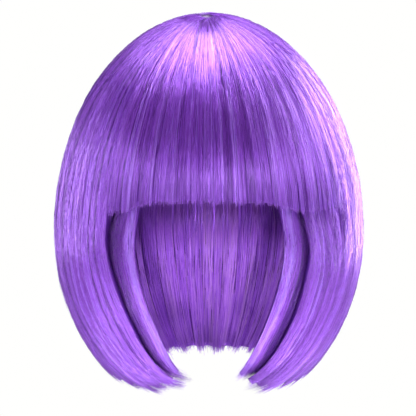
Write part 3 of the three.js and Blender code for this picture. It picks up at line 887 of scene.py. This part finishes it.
# painted shade at the top of the hollow, under the fringe and the cap; the inside also gets a little
# darker towards the tips
INNER_PAINTED_SHADE = [
    (0.46, (0.2, 0.1, 0.25)), (0.55, (0.55, 0.42, 0.62)), (0.64, (1, 1, 1)), (0.97, (0.8, 0.76, 0.85)),
]
outer_finish = fibre_finish("violet_fibre", FIBRE_TONES, OUTER_PAINTED_ROOT_SHADE, metallic=0.75, coat=1.0)
inside_painted_paler_finish = fibre_finish(
    "violet_fibre_inner_side", INNER_PAINTED_PALER_TONES, INNER_PAINTED_SHADE, metallic=0.1, coat=0.05, specular=0.2
)
whorl_finish = fibre_finish(
    "violet_fibre_at_whorl", FIBRE_TONES, OUTER_PAINTED_ROOT_SHADE, metallic=0.4, coat=0.15, specular=0.3
)
for name, made in fibre_pieces.items():
    finish = inside_painted_paler_finish if "inner" in name else whorl_finish if "whorl" in name else outer_finish
    made.data.materials.append(finish)
print("materials", len(bpy.data.materials))

# %% [markdown]
# ## The under-hair's finish
# Between the fibres the eye sees more fibres, deeper and darker: the wall's dark colour is painted
# shade for them. Noise that is stretched along the flow turns the wall's own coordinates into fine
# streaks, for its colour and for a slight bump. The mound under the whorl is painted nearly black and
# matt, as painted shade for the shadow there.

# %% The under-hair material
STREAKS_ACROSS, STREAKS_ALONG = 260, 4
painted_shade_under_hair_material, nodes, links, shader = new_material("violet_under_hair_painted_shade")
flow_node = nodes.new("ShaderNodeUVMap")
flow_node.uv_map = "flow"
stretch = nodes.new("ShaderNodeMapping")
stretch.inputs["Scale"].default_value = (STREAKS_ACROSS, STREAKS_ALONG, 1)
streaks = nodes.new("ShaderNodeTexNoise")
streaks.inputs["Scale"].default_value = 1.0
streaks.inputs["Detail"].default_value = 4.0
links.new(flow_node.outputs["UV"], stretch.inputs["Vector"])
links.new(stretch.outputs["Vector"], streaks.inputs["Vector"])
# painted shade: the ramp is far darker than the fibres, for the deeper fibres in shade
ramp = colour_ramp(nodes, [(0.3, (0.04, 0.006, 0.15)), (0.75, (0.24, 0.05, 0.60))])
links.new(streaks.outputs["Fac"], ramp.inputs["Fac"])
links.new(ramp.outputs["Color"], shader.inputs["Base Color"])
shader.inputs["Metallic"].default_value = 0.6
shader.inputs["Roughness"].default_value = 0.4
bump = nodes.new("ShaderNodeBump")
bump.inputs["Strength"].default_value = 0.6
bump.inputs["Distance"].default_value = 0.0006
links.new(streaks.outputs["Fac"], bump.inputs["Height"])
links.new(bump.outputs["Normal"], shader.inputs["Normal"])
for bed in beds.values():
    bed.data.materials.append(painted_shade_under_hair_material)
mound_painted_shade_material, nodes, links, shader = new_material("violet_roots_painted_shade")
# painted shade: the mound is coloured nearly black for the shadow under the whorl
shader.inputs["Base Color"].default_value = (0.05, 0.012, 0.14, 1)
shader.inputs["Roughness"].default_value = 0.9
shader.inputs["Specular IOR Level"].default_value = 0.1
mound.data.materials.append(mound_painted_shade_material)
print("under-hair finishes", painted_shade_under_hair_material.name, mound_painted_shade_material.name)

# %% [markdown]
# ## The net
# The cap is an elastic net, dark, matt and open. A fine grid of threads on the object's own
# coordinates makes its mesh, and a bump gives the threads their height.

# %% The net material
net_material, nodes, links, shader = new_material("elastic_net")
place = nodes.new("ShaderNodeTexCoord")
weave = nodes.new("ShaderNodeTexVoronoi")
weave.inputs["Scale"].default_value = 420
weave.feature = "DISTANCE_TO_EDGE"
links.new(place.outputs["Object"], weave.inputs["Vector"])
ramp = colour_ramp(nodes, [(0.05, (0.10, 0.05, 0.17)), (0.25, (0.02, 0.008, 0.04))])
links.new(weave.outputs["Distance"], ramp.inputs["Fac"])
links.new(ramp.outputs["Color"], shader.inputs["Base Color"])
shader.inputs["Roughness"].default_value = 0.85
bump = nodes.new("ShaderNodeBump")
bump.inputs["Strength"].default_value = 0.5
bump.inputs["Distance"].default_value = 0.0005
bump.invert = True
links.new(weave.outputs["Distance"], bump.inputs["Height"])
links.new(bump.outputs["Normal"], shader.inputs["Normal"])
net_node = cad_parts["cap"]
net_node.data.materials.clear()
net_node.data.materials.append(net_material)
print("the cap's finish", net_material.name)

# %% [markdown]
# ## Light
# Straight hair shines in bands: a fibre mirrors what lies at the same slant on its other side. A
# softbox overhead gives the shine on the crown, the dark gap below it gives the dark band, and a
# softbox just over the camera gives the band on the fringe. One lamp below it, one at each side and
# a glow behind the wig model the curtains. A snooted lamp shines under the fringe into the hollow.
# The background is white for the camera, and dimmer, in bands, for the hair.

# %% The studio
scene.view_settings.view_transform = "Standard"


def studio_world(levels, backdrop):
    """levels: brightness by elevation as the hair sees it; backdrop: as the camera sees it."""
    world = bpy.data.worlds.new("studio")
    world.use_nodes = True
    nodes, links = world.node_tree.nodes, world.node_tree.links
    direction = nodes.new("ShaderNodeTexCoord")
    split = nodes.new("ShaderNodeSeparateXYZ")
    links.new(direction.outputs["Generated"], split.inputs["Vector"])
    height = nodes.new("ShaderNodeMapRange")
    height.inputs["From Min"].default_value = -1
    links.new(split.outputs["Z"], height.inputs["Value"])
    peak = max(level for _, level in levels)
    stops = [(0.5 + 0.5 * math.sin(math.radians(e)), (level / peak,) * 3) for e, level in levels]
    ramp = colour_ramp(nodes, stops)
    links.new(height.outputs["Result"], ramp.inputs["Fac"])
    glow = nodes["Background"]
    glow.inputs["Strength"].default_value = peak
    links.new(ramp.outputs["Color"], glow.inputs["Color"])
    white = nodes.new("ShaderNodeBackground")
    white.inputs["Color"].default_value = (1, 1, 0.99, 1)
    white.inputs["Strength"].default_value = backdrop
    seen = nodes.new("ShaderNodeLightPath")
    choose = nodes.new("ShaderNodeMixShader")
    links.new(seen.outputs["Is Camera Ray"], choose.inputs["Fac"])
    links.new(glow.outputs["Background"], choose.inputs[1])
    links.new(white.outputs["Background"], choose.inputs[2])
    links.new(choose.outputs["Shader"], nodes["World Output"].inputs["Surface"])
    return world


SKY = [(-90, 0.8), (-20, 0.6), (12, 0.6), (18, 0.03), (64, 0.03), (72, 0.5), (90, 0.5)]
scene.world = studio_world(SKY, 1.0)
print("background bands", len(SKY))

# %% The lamps
HAIR_MIDDLE = Vector((0, 0, -0.11))


def place_lamp(name, data, power, aim, distance, way):
    """Puts a lamp at a distance from what it is aimed at, on the way given."""
    data.energy = power
    lamp = link_object(name, data)
    lamp.location = aim + distance * way
    lamp.rotation_mode = "QUATERNION"
    lamp.rotation_quaternion = way.to_track_quat("Z", "Y")
    return lamp


def softbox(name, turn, rise, distance, size, power):
    """A rectangle of light; turn is degrees to the right of the camera, rise is its elevation."""
    data = bpy.data.lights.new(name, "AREA")
    data.shape = "RECTANGLE"
    data.size, data.size_y = size
    turn, rise = math.radians(turn), math.radians(rise)
    level = math.cos(rise)
    way = Vector((math.sin(turn) * level, -math.cos(turn) * level, math.sin(rise)))
    return place_lamp(name, data, power, HAIR_MIDDLE, distance, way)


softbox("front_softbox", turn=4, rise=16.5, distance=2.4, size=(2.2, 0.5), power=24)
softbox("top_softbox", turn=0, rise=91, distance=1.5, size=(2.2, 1.1), power=50)
softbox("low_softbox", turn=0, rise=-42, distance=1.6, size=(1.6, 1.0), power=20)
softbox("right_softbox", turn=118, rise=14, distance=1.6, size=(0.9, 1.6), power=52)
softbox("left_softbox", turn=-105, rise=4, distance=1.8, size=(0.8, 0.9), power=16)
backdrop = softbox("backdrop_glow", turn=180, rise=4, distance=1.5, size=(2.0, 1.6), power=16)
backdrop.visible_camera = False

SNOOT_RISE = math.radians(8)  # below the level, so that it clears the fringe
snoot = bpy.data.lights.new("snooted_lamp", "SPOT")
snoot.spot_size = math.radians(4.8)
snoot.spot_blend = 1.0
snoot.shadow_soft_size = 0.12
snoot_way = Vector((0.02, -math.cos(SNOOT_RISE), -math.sin(SNOOT_RISE)))
place_lamp("snooted_lamp", snoot, 340, Vector((0, 0.08, -0.212)), 2.0, snoot_way)
print("lamps", len(bpy.data.lights))

# %% [markdown]
# ## The floor
# The wig is shown in the air, as a head holds it, so the floor lies well below the picture.

# %% The floor
FLOOR_RADIUS, FLOOR_DROP = 3.0, 1.4
floor_maker = bmesh.new()
bmesh.ops.create_circle(floor_maker, cap_ends=True, segments=64, radius=FLOOR_RADIUS)
bmesh.ops.translate(floor_maker, verts=floor_maker.verts, vec=(0, 0, -FLOOR_DROP))
floor_mesh = bpy.data.meshes.new("floor")
floor_maker.to_mesh(floor_mesh)
floor_maker.free()
floor = link_object("floor", floor_mesh)
floor_material, nodes, links, shader = new_material("pale_floor")
shader.inputs["Base Color"].default_value = (0.9, 0.9, 0.9, 1)
shader.inputs["Roughness"].default_value = 0.9
floor_mesh.materials.append(floor_material)
print("floor radius", FLOOR_RADIUS, "m")
